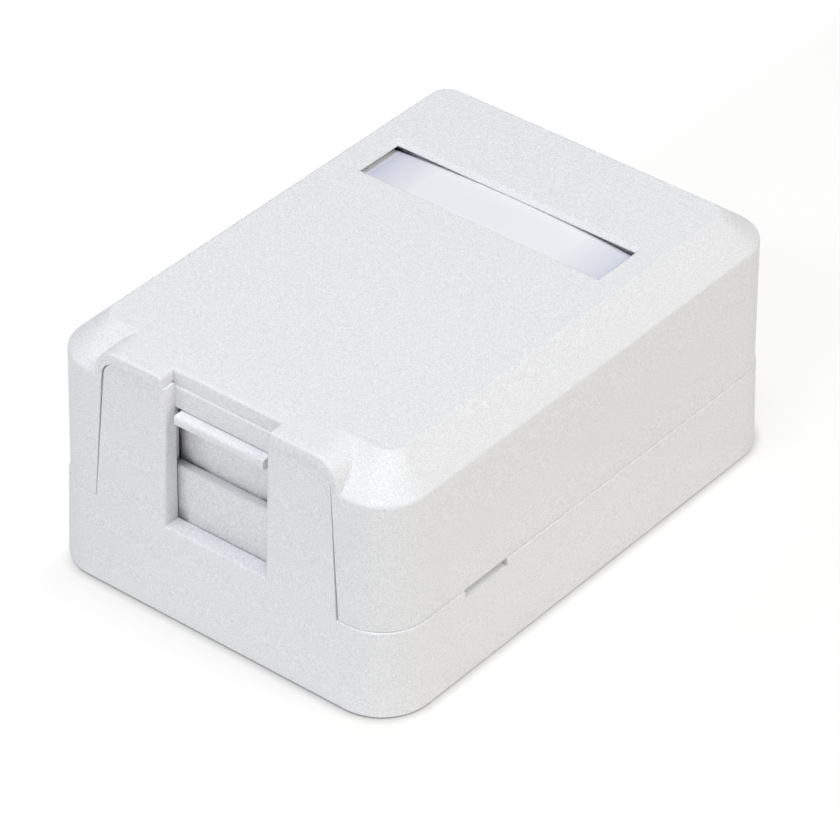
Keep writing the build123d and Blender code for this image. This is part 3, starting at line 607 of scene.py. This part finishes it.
def makeSpring(nodeName, setup):
    low, high = (Vector(corner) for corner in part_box(nodeName))
    middle = (low + high) / 2
    wire = setup["wire"] * mm / 2
    radius = (high.x - low.x) / 2 - wire
    bottom, top = low.z + wire, high.z - wire
    closed = setup["endTurns"]
    turns = setup["turns"] + 2 * closed
    steps = int(turns * setup["stepsPerTurn"])
    coil = wire * 2 * setup["endPitch"]
    mesh = bmesh.new()
    rings = []
    for step in range(steps + 1):
        turn = turns * step / steps
        if turn < closed:                       # the end turns lie flat on each other
            height = bottom + coil * turn
        elif turn > turns - closed:
            height = top - coil * (turns - turn)
        else:
            share = (turn - closed) / (turns - 2 * closed)
            height = bottom + coil * closed + (top - bottom - 2 * coil * closed) * share
        angle = 2 * math.pi * turn
        outward = Vector((math.cos(angle), math.sin(angle), 0))
        centre = Vector((middle.x, middle.y, height)) + outward * radius
        ring = []
        for side in range(setup["sides"]):
            around = 2 * math.pi * side / setup["sides"]
            sideways = outward * math.cos(around) + Vector((0, 0, math.sin(around)))
            ring.append(mesh.verts.new(centre + sideways * wire))
        rings.append(ring)
    for first, second in zip(rings, rings[1:]):
        for side in range(setup["sides"]):
            nextSide = (side + 1) % setup["sides"]
            mesh.faces.new((first[side], first[nextSide], second[nextSide], second[side]))
    mesh.faces.new(rings[0][::-1])
    mesh.faces.new(rings[-1])
    bmesh.ops.recalc_face_normals(mesh, faces=mesh.faces)
    data = bpy.data.meshes.new(nodeName + "_coil")
    mesh.to_mesh(data)
    mesh.free()
    for face in data.polygons:
        face.use_smooth = len(face.vertices) == 4
    spring = bpy.data.objects.new(nodeName + "_coil", data)
    bpy.context.collection.objects.link(spring)
    data.materials.append(finishes["spring_steel"])
    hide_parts(nodeName)
    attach(spring, "base")
    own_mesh(spring)


for nodeName in ("shutter_spring_left", "shutter_spring_right"):
    makeSpring(nodeName, springShape)
print("springs wound")

# Thin trim on the circuit board and the terminal blocks, seen once the cover is lifted
boardTrim = {
    "lift": 0.03,            # mm that the copper stands above the board, and as much lies in it
    "printLift": 0.018,
    "trackWidth": 0.28,
    "trackOverlap": 0.4,     # half widths that each straight run is longer at either end
    "trackUnder": 0.6,       # mm that a track begins under the jack
    "trackAhead": 0.1,       # mm that it runs straight on before it turns out
    "trackInto": 0.1,        # mm that it ends under the terminal block
    "laneFirst": 4.2,        # mm from the middle, clear of the board's round opening
    "laneStep": 0.4,
    "printWidth": 0.18,
    "printMargin": 0.25,
    "viaRadius": 0.32,
    "viaSides": 16,
    "viaInset": 0.75,        # mm from the board's long edges
    "viaShares": (0.25, 0.55),    # of the board's length, from the front
    "track": {
        "pale": (0.075, 0.30, 0.125),
        "dark": (0.06, 0.26, 0.105),
        "roughness": (0.25, 0.35),
        "depth": 0.002,
    },
    "print": {
        "pale": (0.80, 0.80, 0.78),
        "dark": (0.72, 0.72, 0.70),
        "roughness": (0.5, 0.6),
        "depth": 0.002,
    },
}
orderPatch = {
    "length": 2.3,           # mm along the slot
    "width": 0.62,
    "fromEnd": 0.45,
    "fromSlot": 1.2,
    "lift": 0.02,
    "colours": {
        "blue": (0.045, 0.13, 0.48),
        "orange": (0.72, 0.22, 0.03),
        "green": (0.04, 0.32, 0.09),
        "brown": (0.20, 0.09, 0.045),
    },
    "darkShare": 0.85,
    "roughness": (0.35, 0.5),
    "depth": 0.002,
}


def prisms(name, outlines, low, high, material):
    mesh = bmesh.new()
    for outline in outlines:
        under = [mesh.verts.new((x * mm, y * mm, low * mm)) for x, y in outline]
        over = [mesh.verts.new((x * mm, y * mm, high * mm)) for x, y in outline]
        mesh.faces.new(over)
        mesh.faces.new(under[::-1])
        for index in range(len(outline)):
            after = (index + 1) % len(outline)
            mesh.faces.new((under[index], under[after], over[after], over[index]))
    bmesh.ops.recalc_face_normals(mesh, faces=mesh.faces)
    data = bpy.data.meshes.new(name)
    mesh.to_mesh(data)
    mesh.free()
    data.materials.append(material)
    trim = bpy.data.objects.new(name, data)
    bpy.context.collection.objects.link(trim)
    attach(trim, "base")


def rectangle(lowX, highX, lowY, highY):
    return [(lowX, lowY), (highX, lowY), (highX, highY), (lowX, highY)]


def disc(centreX, centreY, radius, sides):
    angles = [2 * math.pi * step / sides for step in range(sides)]
    return [(centreX + radius * math.cos(angle), centreY + radius * math.sin(angle)) for angle in angles]


def track(points, width, overlap):
    # one outline for each straight run, each a little longer than its run
    runs = []
    for (startX, startY), (endX, endY) in zip(points, points[1:]):
        along = Vector((endX - startX, endY - startY)).normalized() * width / 2
        across = Vector((-along.y, along.x))
        start = Vector((startX, startY)) - along * overlap
        end = Vector((endX, endY)) + along * overlap
        corners = (start + across, start - across, end - across, end + across)
        runs.append([tuple(corner) for corner in corners])
    return runs


def frameLines(lowX, highX, lowY, highY, width):
    return [
        rectangle(lowX, highX, lowY, lowY + width),
        rectangle(lowX, highX, highY - width, highY),
        rectangle(lowX, lowX + width, lowY, highY),
        rectangle(highX - width, highX, lowY, highY),
    ]


def boxMm(nodeName):
    low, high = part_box(nodeName)
    return Vector(low) / mm, Vector(high) / mm


def dressBoard(setup):
    boardLow, boardHigh = boxMm("circuit_board")
    jackLow, jackHigh = boxMm("jack_housing")
    wires = [boxMm(f"contact_wire_{number}") for number in range(1, 9)]
    margin = setup["printMargin"]
    tracks, vias, lines = [], [], []
    for sideSign, sideName in ((-1, "left"), (1, "right")):
        blockLow, blockHigh = boxMm("idc_block_" + sideName)
        edge = min(abs(blockLow.x), abs(blockHigh.x))
        nearWires = [wire for wire in wires if wire[0].x * sideSign > 0]
        nearWires.sort(key=lambda wire: -abs(wire[0].x))    # the outermost goes to the first blade
        for order, (wireLow, wireHigh) in enumerate(nearWires):
            bladeLow, bladeHigh = boxMm(f"idc_blade_{sideName}_{order + 1}")
            startX = abs(wireLow.x + wireHigh.x) / 2
            turnY = jackHigh.y + setup["trackAhead"]
            lane = setup["laneFirst"] + setup["laneStep"] * (len(nearWires) - 1 - order)
            bladeY = (bladeLow.y + bladeHigh.y) / 2
            points = [
                (startX, jackHigh.y - setup["trackUnder"]),
                (startX, turnY),
                (lane, turnY + lane - startX),
                (lane, bladeY - (edge - lane)),
                (edge + setup["trackInto"], bladeY + setup["trackInto"]),
            ]
            mirrored = [(sideSign * x, y) for x, y in points]
            tracks += track(mirrored, setup["trackWidth"], setup["trackOverlap"])
        for share in setup["viaShares"]:
            centreX = sideSign * (boardHigh.x - setup["viaInset"])
            centreY = boardLow.y + share * (boardHigh.y - boardLow.y)
            vias.append(disc(centreX, centreY, setup["viaRadius"], setup["viaSides"]))
        spanX = (blockLow.x - margin, blockHigh.x + margin)
        spanY = (blockLow.y - margin, blockHigh.y + margin)
        lines += frameLines(*spanX, *spanY, setup["printWidth"])
    spanX = (jackLow.x - margin, jackHigh.x + margin)
    spanY = (boardLow.y + margin, jackHigh.y + margin * 2)
    lines += frameLines(*spanX, *spanY, setup["printWidth"])
    copper = smoothPlastic("board track", setup["track"])
    ink = smoothPlastic("board print", setup["print"])
    low, high = boardHigh.z - setup["lift"], boardHigh.z + setup["lift"]
    prisms("board_tracks", tracks, low, high, copper)
    prisms("board_vias", vias, low, high, finishes["blade_metal"])
    prisms("board_print", lines, low, boardHigh.z + setup["printLift"], ink)


def dressBlocks(setup):
    for order, (colourName, colour) in enumerate(setup["colours"].items(), 1):
        outlines = []
        for sideSign, sideName in ((-1, "left"), (1, "right")):
            blockLow, blockHigh = boxMm("idc_block_" + sideName)
            bladeLow, bladeHigh = boxMm(f"idc_blade_{sideName}_{order}")
            nearY = (bladeLow.y + bladeHigh.y) / 2 - setup["fromSlot"]
            outer = max(abs(blockLow.x), abs(blockHigh.x)) - setup["fromEnd"]
            spanX = sorted((sideSign * outer, sideSign * (outer - setup["length"])))
            outlines.append(rectangle(*spanX, nearY - setup["width"], nearY))
        paint = {
            "pale": colour,
            "dark": tuple(setup["darkShare"] * part for part in colour),
            "roughness": setup["roughness"],
            "depth": setup["depth"],
        }
        ink = smoothPlastic(colourName + " ink", paint)
        low, high = blockHigh.z - setup["lift"], blockHigh.z + setup["lift"]
        prisms("order_patch_" + colourName, outlines, low, high, ink)


dressBoard(boardTrim)
dressBlocks(orderPatch)
print("board and blocks dressed")
